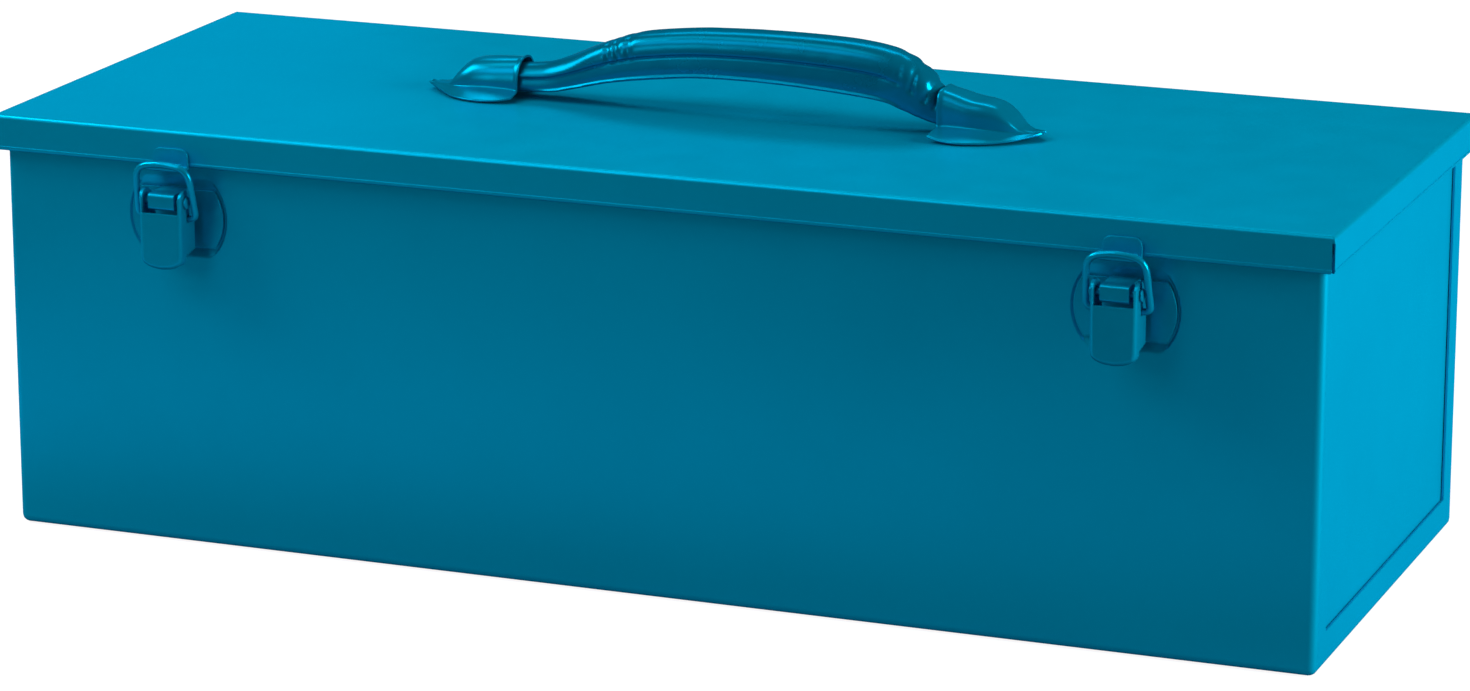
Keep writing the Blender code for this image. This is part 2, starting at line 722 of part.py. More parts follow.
def build_bail(name, x):
    """The wire bail: feet turned in through the lever's ears, legs, and an arched top bar."""
    tip = LEVER_WIDTH / 2 - LEVER_SHEET - BAIL_FOOT_INSIDE
    low = BAIL_LOW_WIDTH / 2
    high = BAIL_TOP_WIDTH / 2
    rise = Vector((0, BAIL_TOP_Y - BAIL_FOOT_Y, BAIL_TOP_Z - BAIL_FOOT_Z))
    foot = Vector((x, BAIL_FOOT_Y, BAIL_FOOT_Z))
    shoulder = rise * (1 - BAIL_TOP_ARCH / rise.length)
    corners = []
    for sign in (-1, 1):
        side = [(sign * tip, 0 * rise), (sign * low, 0 * rise), (sign * high, shoulder)]
        side = [foot + Vector((across, 0, 0)) + up for across, up in side]
        corners.append(side)
    points = corners[0] + [foot + rise] + corners[1][::-1]
    radii = [0, BAIL_LOW_CORNER, BAIL_TOP_CORNER, BAIL_TOP_CORNER / 2]
    radii += [BAIL_TOP_CORNER, BAIL_LOW_CORNER, 0]
    path = rounded_path(points, radii)
    curve = bpy.data.curves.new(f"bail_wire_{name}", "CURVE")
    curve.dimensions = "3D"
    curve.bevel_depth = BAIL_WIRE / 2
    curve.bevel_resolution = 3
    curve.use_fill_caps = True
    spline = curve.splines.new("POLY")
    spline.points.add(len(path) - 1)
    for point, place in zip(spline.points, path):
        point.co = (*place, 1.0)
    curve.materials.append(TEAL_ENAMEL)
    bail = bpy.data.objects.new(f"latch_bail_{name}", curve)
    PARTS.objects.link(bail)
    return bail


def build_catch(name, x):
    """The hook on the lid's rim that a bail pulls on: plate, ledge and an upturned lip."""
    half = CATCH_WIDTH / 2
    plate_front = CATCH_FACE - CATCH_SHEET
    catch = box(
        f"lid_catch_{name}",
        (x - half, plate_front, CATCH_LEDGE_Z),
        (x + half, CATCH_FACE, CATCH_PLATE_TOP),
        TEAL_ENAMEL,
    )
    middle_z = (CATCH_LEDGE_Z + CATCH_PLATE_TOP) / 2
    round_edges(catch, CATCH_CORNER, lambda middle, d: abs(d.y) > ALONG and middle.z > middle_z)
    hook = box(
        f"catch_hook_{name}",
        (x - half, CATCH_LIP_FACE, CATCH_LEDGE_Z),
        (x + half, plate_front + CATCH_SHEET / 2, CATCH_LIP_TOP),
    )
    bend = Vector((x, CATCH_LIP_FACE, CATCH_LEDGE_Z))
    round_edges(hook, CATCH_SHEET, lambda middle, d: (middle - bend).length < GAP)
    trough = box(
        f"catch_trough_{name}",
        (x - PAST, CATCH_LIP_FACE + CATCH_SHEET, CATCH_LEDGE_Z + CATCH_SHEET),
        (x + PAST, plate_front, CATCH_LIP_TOP + SHEET),
    )
    cut(hook, trough)
    join(catch, hook)
    return catch


def build_hinge(name, x):
    """A butt hinge behind the case. Returns the leaf that turns with the lid."""
    half = HINGE_WIDTH / 2
    mid = HINGE_MIDDLE / 2
    bore = HINGE_PIN + PIVOT_PLAY
    leaf_inner = BACK + GAP
    leaf_outer = leaf_inner + HINGE_LEAF
    leaf = box(
        f"hinge_body_leaf_{name}",
        (x - half, leaf_inner, HINGE_Z - HINGE_LEAF_DROP),
        (x + half, leaf_outer, HINGE_Z),
        TEAL_ENAMEL,
    )
    join(leaf, rod_x(f"body_barrel_{name}", HINGE_BARREL, x - half, x + half, HINGE_Y, HINGE_Z))
    clear = HINGE_BARREL + GAP
    notch = box(
        f"body_leaf_notch_{name}",
        (x - mid - GAP, BACK - PAST, HINGE_Z - clear),
        (x + mid + GAP, HINGE_Y + PAST, HINGE_Z + PAST),
    )
    cut(leaf, notch, rod_x(f"body_leaf_bore_{name}", bore, x - PAST, x + PAST, HINGE_Y, HINGE_Z))

    rim_face = RIM_SIDE + GAP
    outer = HINGE_Y + HINGE_BARREL
    lid_leaf = box(
        f"hinge_lid_leaf_{name}",
        (x - half, rim_face, RIM_BOTTOM + GAP),
        (x + half, outer, LID_TOP - LID_BEND),
        TEAL_ENAMEL,
    )
    tab = box(f"lid_leaf_tab_{name}", (x - mid, rim_face, HINGE_Z), (x + mid, outer, RIM_BOTTOM + SHEET))
    join(lid_leaf, tab, rod_x(f"lid_barrel_{name}", HINGE_BARREL, x - mid, x + mid, HINGE_Y, HINGE_Z))
    cut(lid_leaf, rod_x(f"lid_leaf_bore_{name}", bore, x - PAST, x + PAST, HINGE_Y, HINGE_Z))

    pin_end = half + HINGE_PIN_PAST
    rod_x(f"hinge_pin_{name}", HINGE_PIN, x - pin_end, x + pin_end, HINGE_Y, HINGE_Z, ZINC_PLATE)
    return lid_leaf


def main():
    build_body()
    lid_pieces = [build_lid()] + build_handle()
    for name, sign in (("left", -1), ("right", 1)):
        build_latch(name, sign * LATCH_X)
        lid_pieces.append(build_catch(name, sign * LATCH_X))
        lid_pieces.append(build_hinge(name, sign * HINGE_X))
    turns_on("lid_axis", (0, HINGE_Y, HINGE_Z), lid_pieces)


main()
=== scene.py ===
"""Looks of the teal sheet-steel tool case: finishes, padded grip, pressed caps and studio."""

import json
import math

import bpy
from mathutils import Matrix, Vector, noise


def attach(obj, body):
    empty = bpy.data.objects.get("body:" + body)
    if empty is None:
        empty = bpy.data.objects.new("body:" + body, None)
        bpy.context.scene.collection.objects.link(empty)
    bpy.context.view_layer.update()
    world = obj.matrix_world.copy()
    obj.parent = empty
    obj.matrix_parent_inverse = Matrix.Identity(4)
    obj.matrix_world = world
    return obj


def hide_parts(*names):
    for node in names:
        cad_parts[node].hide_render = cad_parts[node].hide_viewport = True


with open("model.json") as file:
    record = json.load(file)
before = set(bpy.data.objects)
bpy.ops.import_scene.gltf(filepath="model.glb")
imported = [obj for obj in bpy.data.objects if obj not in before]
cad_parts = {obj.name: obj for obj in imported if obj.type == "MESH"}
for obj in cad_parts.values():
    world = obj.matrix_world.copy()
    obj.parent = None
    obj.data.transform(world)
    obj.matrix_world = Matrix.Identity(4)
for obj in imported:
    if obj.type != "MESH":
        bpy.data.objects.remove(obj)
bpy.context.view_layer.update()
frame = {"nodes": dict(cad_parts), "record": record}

# Lengths are in metres unless a name or comment says mm, and angles are in degrees
MM_PER_M = 1000
# How near a point has to be to count as lying on a face of the CAD
NEAR = 0.0003


def linear(code):
    """An sRGB hex colour as linear red, green, blue and alpha."""
    values = [int(code[place:place + 2], 16) / 255 for place in (1, 3, 5)]
    return (*[v / 12.92 if v <= 0.04045 else ((v + 0.055) / 1.055) ** 2.4 for v in values], 1.0)


def add_node(tree, kind, inputs=None, **settings):
    """Adds a node. An input given as a socket is linked, and any other value is set on it."""
    made = tree.nodes.new(kind)
    for name, value in settings.items():
        setattr(made, name, value)
    for name, value in (inputs or {}).items():
        if isinstance(value, bpy.types.NodeSocket):
            tree.links.new(value, made.inputs[name])
        else:
            made.inputs[name].default_value = value
    return made


def new_material(name):
    """An empty node material, with its tree and output."""
    material = bpy.data.materials.new(name)
    material.use_nodes = True
    tree = material.node_tree
    tree.nodes.clear()
    return material, tree, add_node(tree, "ShaderNodeOutputMaterial")


# In every finish: the part of the noise that counts, how far rubbing changes the roughness, and
# the detail of each noise
TONE_LOW = 0.30
TONE_HIGH = 0.70
RUB_LOW = 0.3
RUB_HIGH = 0.7
RUB_SMOOTHER = 0.01
RUB_ROUGHER = 0.02
CLOUD_DETAIL = 4.0
RUB_DETAIL = 5.0
BUMP_DETAIL = 1.0


def surface(name, light, deep, cloud_mm, rub_mm, bumps, roughness, metallic, tint, specular):
    """A finish with two close tones, a rubbed gloss and a stack of bumps.

    Each bump is a size in mm, a height in mm and a strength.
    """
    material, tree, output = new_material(name)
    place = add_node(tree, "ShaderNodeTexCoord").outputs["Object"]
    cloud = add_node(tree, "ShaderNodeTexNoise", {
        "Vector": place, "Scale": MM_PER_M / cloud_mm, "Detail": CLOUD_DETAIL,
    })
    tone = add_node(tree, "ShaderNodeValToRGB", {"Fac": cloud.outputs["Fac"]})
    tone.color_ramp.elements[0].position = TONE_LOW
    tone.color_ramp.elements[0].color = linear(deep)
    tone.color_ramp.elements[1].position = TONE_HIGH
    tone.color_ramp.elements[1].color = linear(light)
    rub = add_node(tree, "ShaderNodeTexNoise", {
        "Vector": place, "Scale": MM_PER_M / rub_mm, "Detail": RUB_DETAIL,
    })
    gloss = add_node(tree, "ShaderNodeMapRange", {
        "Value": rub.outputs["Fac"], "From Min": RUB_LOW, "From Max": RUB_HIGH,
        "To Min": roughness - RUB_SMOOTHER, "To Max": roughness + RUB_ROUGHER,
    })
    normal = None
    for size_mm, height_mm, strength in bumps:
        wave = add_node(tree, "ShaderNodeTexNoise", {
            "Vector": place, "Scale": MM_PER_M / size_mm, "Detail": BUMP_DETAIL,
        })
        wanted = {
            "Height": wave.outputs["Fac"], "Strength": strength, "Distance": height_mm / MM_PER_M,
        }
        if normal is not None:
            wanted["Normal"] = normal
        normal = add_node(tree, "ShaderNodeBump", wanted).outputs["Normal"]
    shader = add_node(tree, "ShaderNodeBsdfPrincipled", {
        "Base Color": tone.outputs["Color"], "Roughness": gloss.outputs["Result"],
        "Metallic": metallic, "Specular IOR Level": specular, "Specular Tint": linear(tint),
        "Normal": normal,
    })
    tree.links.new(shader.outputs["BSDF"], output.inputs["Surface"])
    return material


# The photo's highlights hold almost no red, so the paint's gloss is teal, with no white over it
PAINT_GLOSS = {"tint": "#00A6CC", "specular": 0.0}
METAL_GLOSS = {"tint": "#FFFFFF", "specular": 0.5}
# On small pressings the enamel flows out softly, without the sheet's orange peel
PRESSING_BUMPS = ((30, 0.1, 1.0), (5.0, 0.02, 0.2))

# Stove enamel sprayed on steel sheet: teal even in its gloss, a slow swell in the sheet and a faint
# orange peel, drawn a little coarse so that it shows
SHEET_ENAMEL = surface(
    "teal_stove_enamel_sheet", light="#00A6CC", deep="#00A3C9", cloud_mm=70, rub_mm=18,
    bumps=((240, 0.5, 1.0), (1.6, 0.04, 0.25)), roughness=0.33, metallic=0.55, **PAINT_GLOSS,
)
# The same enamel on small pressings, where it lies thicker and glossier
FITTING_ENAMEL = surface(
    "teal_stove_enamel_fittings", light="#009FC5", deep="#0096BB", cloud_mm=25, rub_mm=6,
    bumps=PRESSING_BUMPS, roughness=0.25, metallic=0.50, **PAINT_GLOSS,
)
# The same enamel on the handle's pressed caps, a shade deeper: painted shade, darker tones standing
# in for the shade on the caps
CAP_ENAMEL_PAINTED_SHADE = surface(
    "teal_stove_enamel_caps_painted_shade", light="#0085A6", deep="#007E9D", cloud_mm=25, rub_mm=6,
    bumps=PRESSING_BUMPS, roughness=0.25, metallic=0.50, **PAINT_GLOSS,
)
# Painted vinyl over foam: deeper teal, smooth and wet-looking, a little uneven under the fingers
GRIP_VINYL = surface(
    "teal_gloss_vinyl", light="#007897", deep="#00718F", cloud_mm=30, rub_mm=9,
    bumps=((20, 0.12, 1.0), (6.0, 0.02, 0.2)), roughness=0.26, metallic=0.50, **PAINT_GLOSS,
)
# Dull zinc plate: grey, with a soft spangle
ZINC_PLATE = surface(
    "dull_zinc_plate", light="#B9BCBE", deep="#9DA1A4", cloud_mm=4, rub_mm=3,
    bumps=((6, 0.02, 0.5),), roughness=0.42, metallic=1.0, **METAL_GLOSS,
)
# Oiled spring steel: darker grey, with a fine grain
SPRING_STEEL = surface(
    "oiled_spring_steel", light="#8E9093", deep="#6F7276", cloud_mm=8, rub_mm=2,
    bumps=((1.5, 0.01, 0.5),), roughness=0.30, metallic=1.0, **METAL_GLOSS,
)

SLOT_FINISHES = {
    "teal_enamel": FITTING_ENAMEL,
    "teal_vinyl": GRIP_VINYL,
    "spring_steel": SPRING_STEEL,
    "zinc_plate": ZINC_PLATE,
}
# How the names of the sheet pieces begin, the lid's catches among them, and those of the caps
SHEET_NAMES = ("body_wrap", "end_panel", "lid")
CAP_NAMES = "handle_cap"
SLOTS = {row["node"]: row["material_slot"] for row in frame["record"]["subparts"]}
BODIES = {
    node: body
    for body, nodes in frame["record"]["behaviour"]["bodies"].items()
    for node in nodes
}


def finish_of(node):
    """The finish of a CAD node: by its name for sheets and caps, and by its slot for the rest."""
    if node.startswith(SHEET_NAMES):
        return SHEET_ENAMEL
    # The caps take the enamel whose tones are darkened as painted shade
    return CAP_ENAMEL_PAINTED_SHADE if node.startswith(CAP_NAMES) else SLOT_FINISHES[SLOTS[node]]


def finish_nodes():
    """Gives every carried-over CAD node its finish."""
    for node, obj in frame["nodes"].items():
        obj.data.materials.clear()
        obj.data.materials.append(finish_of(node))


def stand_for(piece, node):
    """The piece takes the place, the body and the finish of a CAD node."""
    piece.data.materials.clear()
    piece.data.materials.append(finish_of(node))
    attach(piece, BODIES[node])
    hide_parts(node)


def edit(obj, *steps):
    """Runs edit-mode steps on the whole of one object."""
    bpy.ops.object.select_all(action="DESELECT")
    bpy.context.view_layer.objects.active = obj
    obj.select_set(True)
    bpy.ops.object.mode_set(mode="EDIT")
    bpy.ops.mesh.select_all(action="SELECT")
    for step in steps:
        step()
    bpy.ops.object.mode_set(mode="OBJECT")


def apply_modifier(obj, kind, **settings):
    """Adds a modifier to the active object and applies it."""
    modifier = obj.modifiers.new(kind.lower(), kind)
    for name, value in settings.items():
        setattr(modifier, name, value)
    bpy.ops.object.modifier_apply(modifier=modifier.name)


def rise(value, start, run):
    """Goes smoothly from 0 at start to 1 a run further on."""
    share = min(max((value - start) / run, 0.0), 1.0)
    return share * share * (3 - 2 * share)


def between(value, start, start_run, end, end_run):
    """Rises smoothly from 0 to 1 past a start, and falls back to 0 past an end."""
    return rise(value, start, start_run) * (1 - rise(value, end, end_run))


def hump(distance, width):
    """A smooth bump of height 1 at no distance."""
    return math.exp(-((distance / width) ** 2))


def oval_radius(c, s, half_width, half_height, power):
    """How far an oval's edge lies in a direction. A power over 2 makes the oval squarer."""
    return ((abs(c) / half_width) ** power + (abs(s) / half_height) ** power) ** (-1 / power)


def station_at(stations, along):
    """A smooth curve (Catmull-Rom) through a table of stations, at a place counted in rows."""
    index = min(int(along), len(stations) - 2)
    t = along - index
    rows = [stations[min(max(index + step, 0), len(stations) - 1)] for step in (-1, 0, 1, 2)]
    values = []
    for a, b, c, d in zip(*rows):
        squared = 2 * a - 5 * b + 4 * c - d
        cubed = 3 * b - a - 3 * c + d
        values.append(0.5 * (2 * b + (c - a) * t + squared * t**2 + cubed * t**3))
    return values


def shaped_grid(name, columns, rows, place):
    """A grid whose corner-to-corner places (u, v), each 0 to 1, are moved to place(u, v)."""
    bpy.ops.object.select_all(action="DESELECT")
    bpy.ops.mesh.primitive_grid_add(
        x_subdivisions=columns, y_subdivisions=rows, size=1.0, location=(0, 0, 0)
    )
    obj = bpy.context.object
    obj.name = name
    obj.data.name = name
    for vertex in obj.data.vertices:
        vertex.co = Vector(place(vertex.co.x + 0.5, vertex.co.y + 0.5))
    return obj


# Copies of CAD nodes: merging distance, the angle up to which faces count as one, the steps of a
# rounded edge, and how much more a large face counts than a small one in the shading
COPY_MERGE = 0.000002
FLAT_ANGLE = 0.4
ROUND_STEPS = 3
FACE_WEIGHT = 80


def smooth_copy(node, round_mm, angle, shape=None):
    """A copy of a CAD node with its seams merged, its form changed by shape(piece) where that is
    given, its edges sharper than the angle rounded off, and its bends shaded smooth."""
    name = f"{node}_finished"
    piece = bpy.data.objects.new(name, frame["nodes"][node].data.copy())
    piece.data.name = name
    bpy.context.scene.collection.objects.link(piece)
    edit(
        piece,
        lambda: bpy.ops.mesh.remove_doubles(threshold=COPY_MERGE),
        lambda: bpy.ops.mesh.dissolve_limited(angle_limit=math.radians(FLAT_ANGLE)),
    )
    if shape is not None:
        shape(piece)
    if round_mm:
        apply_modifier(
            piece, "BEVEL", width=round_mm / MM_PER_M, segments=ROUND_STEPS, limit_method="ANGLE",
            angle_limit=math.radians(angle), use_clamp_overlap=True, miter_outer="MITER_ARC",
        )
    bpy.ops.object.shade_smooth_by_angle(angle=math.radians(angle))
    apply_modifier(piece, "WEIGHTED_NORMAL", keep_sharp=True, weight=FACE_WEIGHT)
    stand_for(piece, node)


# Latches, from the CAD source: their middles, and the lever's half width, lower end, the height of
# its rounded corners, and how square these are
LATCH_X = (-0.18, 0.18)
LATCH_Z = 0.1242
LEVER_HALF = 0.0084
LEVER_BOTTOM = 0.1073
LEVER_RISE = 0.0041
LEVER_POWER = 2 / 0.6


def off_latch(x):
    """How far to the side of the nearer latch's middle a place is."""
    return min(abs(x - middle) for middle in LATCH_X)


def round_lever_tip(piece):
    """Draws a lever's lower corners up into the rounder tongue that the photo shows."""
    for vertex in piece.data.vertices:
        share = min(off_latch(vertex.co.x) / LEVER_HALF, 1.0)
        square = LEVER_RISE * (1 - (1 - share**LEVER_POWER) ** (1 / LEVER_POWER))
        oval = LEVER_RISE * (1 - math.sqrt(1 - share**2))
        near = 1 - rise(vertex.co.z, LEVER_BOTTOM + LEVER_RISE, LEVER_RISE)
        vertex.co.z += (oval - square) * near


# Dimples behind the latch plates, from the CAD source, and where they fade out above and below
BODY_FRONT = -0.096
DIMPLE_RADIUS = 0.0198
DIMPLE_DEPTH = 0.0008
FADE_START = 0.0110
FADE_RUN = 0.0040
FADE_STEPS = 4


def fade_dimples(piece):
    """Brings the dimples' floors out to the sheet above and below the clipped plates, where the
    photo shows no edge."""
    levels = [FADE_START + FADE_RUN * step / FADE_STEPS for step in range(FADE_STEPS + 1)]
    for level in levels + [-level for level in levels]:
        cut = (0, 0, LATCH_Z + level)
        edit(piece, lambda: bpy.ops.mesh.bisect(plane_co=cut, plane_no=(0, 0, 1)))
    for vertex in piece.data.vertices:
        high = abs(vertex.co.z - LATCH_Z)
        inside = math.hypot(off_latch(vertex.co.x), high) < DIMPLE_RADIUS + NEAR
        if inside and vertex.co.y < BODY_FRONT + DIMPLE_DEPTH + NEAR:
            vertex.co.y += (BODY_FRONT - vertex.co.y) * rise(high, FADE_START, FADE_RUN)
    edit(piece, lambda: bpy.ops.mesh.dissolve_limited(angle_limit=math.radians(FLAT_ANGLE)))


# Lid rim, from the CAD source, its hem's height and how far that stands out, and how much deeper
# the photo shows the rim. A face is upright when its normal rises less than UPRIGHT.
RIM_END = 0.2535
RIM_SIDE = 0.100
RIM_BOTTOM = 0.145
HEM_HEIGHT = 0.0016
HEM_PROUD = 0.00025
RIM_DROP = 0.0013
UPRIGHT = 0.05


def roll_hem(piece):
    """Sets the rim's lower edge a little proud, as a folded hem is, and a little lower, except at
    the back, where the hinges are."""
    hem_top = RIM_BOTTOM + HEM_HEIGHT
    edit(
        piece,
        lambda: bpy.ops.mesh.bisect(plane_co=(0, 0, hem_top), plane_no=(0, 0, 1)),
        lambda: bpy.ops.mesh.select_mode(type="FACE"),
        lambda: bpy.ops.mesh.select_all(action="DESELECT"),
    )
    for face in piece.data.polygons:
        outside = abs(face.center.y) > RIM_SIDE - NEAR or abs(face.center.x) > RIM_END - NEAR
        upright = abs(face.normal.z) < UPRIGHT
        face.select = outside and upright and face.center.z < hem_top
    bpy.ops.object.mode_set(mode="EDIT")
    bpy.ops.mesh.extrude_region_shrink_fatten(TRANSFORM_OT_shrink_fatten={"value": HEM_PROUD})
    bpy.ops.mesh.select_mode(type="VERT")
    bpy.ops.object.mode_set(mode="OBJECT")
    for vertex in piece.data.vertices:
        at_back = vertex.co.y > 0 and RIM_SIDE - vertex.co.y < RIM_END - abs(vertex.co.x)
        if vertex.co.z < hem_top + NEAR and not at_back:
            vertex.co.z -= RIM_DROP


# Padded grip: the same stations as in the CAD source, as x, centre height, half height, half width
GRIP_STATIONS = (
    (-0.0885, 0.1644, 0.0049, 0.0070),
    (-0.0830, 0.1646, 0.0051, 0.0071),
    (-0.0760, 0.1651, 0.0053, 0.0073),
    (-0.0700, 0.1660, 0.0056, 0.0075),
    (-0.0620, 0.1684, 0.0062, 0.0079),
    (-0.0530, 0.1715, 0.0070, 0.0084),
    (-0.0450, 0.1739, 0.0078, 0.0087),
    (-0.0380, 0.1756, 0.0084, 0.0089),
    (-0.0300, 0.1770, 0.0087, 0.0090),
    (-0.0140, 0.1788, 0.0088, 0.0091),
    (0.0030, 0.1795, 0.0090, 0.0092),
    (0.0200, 0.1795, 0.0093, 0.0092),
    (0.0330, 0.1791, 0.0096, 0.0092),
    (0.0450, 0.1785, 0.0098, 0.0092),
    (0.0560, 0.1774, 0.0097, 0.0091),
    (0.0640, 0.1755, 0.0093, 0.0089),
    (0.0705, 0.1721, 0.0085, 0.0085),
    (0.0755, 0.1686, 0.0070, 0.0079),
    (0.0800, 0.1660, 0.0055, 0.0072),
    (0.0860, 0.1648, 0.0050, 0.0070),
)
GRIP_ROWS = 280
GRIP_AROUND = 240
GRIP_MERGE = 0.00001
GRIP_SHARP_ANGLE = 50
# Part of a row to either side over which the slope is measured
SLOPE_STEP = 0.02
# How square the section is: the upper half where padded and at the strap ends, and the lower half
PADDED_POWER = 2.9
STRAP_POWER = 1.8
LOWER_POWER = 4.5
# Where along x the strap is padded, seamed and lipped: start and its run, end and its run
PADDED_SPAN = (-0.066, 0.018, 0.073, 0.008)
SEAMED_SPAN = (-0.090, 0.006, 0.058, 0.010)
LIPPED_SPAN = (-0.082, 0.012, 0.066, 0.008)
# Seam along the side. A level is a share of the half height.
SEAM_LEVEL = 0.04
SEAM_DEPTH = 0.0010
SEAM_WIDTH = 0.0005
# The side under the seam: how far it steps in, over what height, and how far it flares out below
LOWER_INSET = 0.0010
LOWER_STEP = 0.0008
LOWER_FLARE = 0.0012
# Lip along the lower edge
LIP_LEVEL = -0.84
LIP_REACH = 0.0012
LIP_WIDTH = 0.0006
# Folds across the sleeve: x, depth, width, lean along the height
GRIP_FOLDS = (
    (-0.0468, 0.00055, 0.0012, 0.10),
    (-0.0428, 0.00060, 0.0010, -0.05),
    (-0.0388, 0.00045, 0.0013, 0.12),
    (0.0655, 0.00040, 0.0014, -0.25),
    (0.0706, 0.00075, 0.0012, -0.30),
    (0.0752, 0.00065, 0.0012, -0.10),
    (0.0790, 0.00040, 0.0009, 0.05),
)
# Where the folds set in, up the side and out from the crown, each as a start and a run, and the
# share of their depth that they keep on the crown
FOLD_LEVEL = (-0.15, 0.3)
FOLD_SIDE = (0.2, 0.4)
FOLD_CROWN = 0.25
# Slight unevenness: its height, its scale along and around, and a place in the noise for each side
UNEVEN_HEIGHT = 0.00005
UNEVEN_ALONG = 160
UNEVEN_AROUND = 1.5
UNEVEN_FRONT = 3.0
UNEVEN_BACK = 7.0


def grip_point(u, v):
    """A point of the grip: u runs along it, v runs around it from its front."""
    last = len(GRIP_STATIONS) - 1
    along = u * last
    x, z, half_height, half_width = station_at(GRIP_STATIONS, along)
    ahead = station_at(GRIP_STATIONS, min(along + SLOPE_STEP, last))
    behind = station_at(GRIP_STATIONS, max(along - SLOPE_STEP, 0))
    slope = math.atan2(ahead[1] - behind[1], ahead[0] - behind[0])
    turn = 2 * math.pi * v
    c, s = math.cos(turn), math.sin(turn)
    upper_power = STRAP_POWER + (PADDED_POWER - STRAP_POWER) * between(x, *PADDED_SPAN)
    power = upper_power if s > 0 else LOWER_POWER
    radius = oval_radius(c, s, half_width, half_height, power)
    level = radius * s / half_height
    seamed = between(x, *SEAMED_SPAN)
    over_seam = (level - SEAM_LEVEL) * half_height
    over_lip = (level - LIP_LEVEL) * half_height
    change = -SEAM_DEPTH * hump(over_seam, SEAM_WIDTH) * seamed
    flare = LOWER_FLARE * min(max(-over_seam / half_height, 0.0), 1.0)
    reach = (flare - LOWER_INSET) * rise(-over_seam, 0.0, LOWER_STEP) * seamed
    reach += LIP_REACH * hump(over_lip, LIP_WIDTH) * between(x, *LIPPED_SPAN)
    folded = rise(level, *FOLD_LEVEL)
    folded *= FOLD_CROWN + (1 - FOLD_CROWN) * rise(abs(c), *FOLD_SIDE)
    for fold_x, depth, width, lean in GRIP_FOLDS:
        change -= depth * hump(x - fold_x - lean * level * half_height, width) * folded
    spot = (x * UNEVEN_ALONG, level * UNEVEN_AROUND, UNEVEN_FRONT if c > 0 else UNEVEN_BACK)
    change += UNEVEN_HEIGHT * noise.noise(Vector(spot))
    across = -c * (radius + change) - math.copysign(1.0, c) * reach
    up = s * (radius + change)
    return x - math.sin(slope) * up, across, z + math.cos(slope) * up


def build_grip():
    """The padded sleeve, closed at both ends."""
    grip = shaped_grid("grip_sleeve", GRIP_ROWS, GRIP_AROUND, grip_point)
    edit(
        grip,
        lambda: bpy.ops.mesh.remove_doubles(threshold=GRIP_MERGE),
        lambda: bpy.ops.mesh.select_all(action="DESELECT"),
        lambda: bpy.ops.mesh.select_non_manifold(),
        lambda: bpy.ops.mesh.edge_face_add(),
        lambda: bpy.ops.mesh.select_all(action="SELECT"),
        lambda: bpy.ops.mesh.normals_make_consistent(inside=False),
    )
    bpy.ops.object.shade_smooth_by_angle(angle=math.radians(GRIP_SHARP_ANGLE))
    stand_for(grip, "handle_grip")


# Caps: the lid's top and the gap over it, from the CAD source, the sheet's thickness, and stations
# as distance from the mouth, crown, crease height, crease half width, flange half width, edge lift
LID_TOP = 0.157
CAP_GAP = 0.0003
CAP_SHEET = 0.0008
CAP_LEFT_MOUTH = -0.0832
CAP_LEFT = (
    (0.0000, 0.0148, 0.0032, 0.0088, 0.0150, 0.0012),
    (0.0012, 0.0144, 0.0033, 0.0088, 0.0160, 0.0009),
    (0.0050, 0.0142, 0.0036, 0.0090, 0.0178, 0.0003),
    (0.0120, 0.0138, 0.0038, 0.0094, 0.0188, 0.0000),
    (0.0185, 0.0130, 0.0036, 0.0092, 0.0176, 0.0000),
    (0.0225, 0.0112, 0.0033, 0.0086, 0.0158, 0.0000),
    (0.0260, 0.0078, 0.0030, 0.0076, 0.0136, 0.0001),
    (0.0290, 0.0042, 0.0026, 0.0060, 0.0108, 0.0003),
    (0.0320, 0.0029, 0.0023, 0.0044, 0.0080, 0.0007),
    (0.0355, 0.0024, 0.0020, 0.0026, 0.0046, 0.0012),
    (0.0388, 0.0024, 0.0021, 0.0007, 0.0011, 0.0018),
)
CAP_RIGHT_MOUTH = 0.0810
CAP_RIGHT = (
    (0.0000, 0.0162, 0.0036, 0.0089, 0.0196, 0.0016),
    (0.0015, 0.0161, 0.0036, 0.0089, 0.0200, 0.0011),
    (0.0060, 0.0150, 0.0038, 0.0092, 0.0206, 0.0003),
    (0.0120, 0.0134, 0.0038, 0.0096, 0.0208, 0.0000),
    (0.0180, 0.0126, 0.0036, 0.0094, 0.0190, 0.0000),
    (0.0225, 0.0112, 0.0034, 0.0088, 0.0166, 0.0000),
    (0.0265, 0.0082, 0.0031, 0.0078, 0.0140, 0.0002),
    (0.0300, 0.0046, 0.0027, 0.0060, 0.0108, 0.0005),
    (0.0330, 0.0032, 0.0025, 0.0040, 0.0074, 0.0010),
    (0.0360, 0.0030, 0.0026, 0.0022, 0.0040, 0.0016),
    (0.0380, 0.0031, 0.0028, 0.0007, 0.0011, 0.0022),
)
CAP_COLUMNS = 64
CAP_ROWS = 60
CAP_SHARP_ANGLE = 60
# Share of the way across that each flange takes, and how square each dome is
CAP_FLANGE_SHARE = 0.2
CAP_LEFT_POWER = 2.4
CAP_RIGHT_POWER = 5.0
CAP_LEAST_RISE = 0.0001
# Rolled edge of the mouth: height, place behind the mouth, width
CAP_ROLL_HEIGHT = 0.00035
CAP_ROLL_PLACE = 0.0007
CAP_ROLL_WIDTH = 0.0007


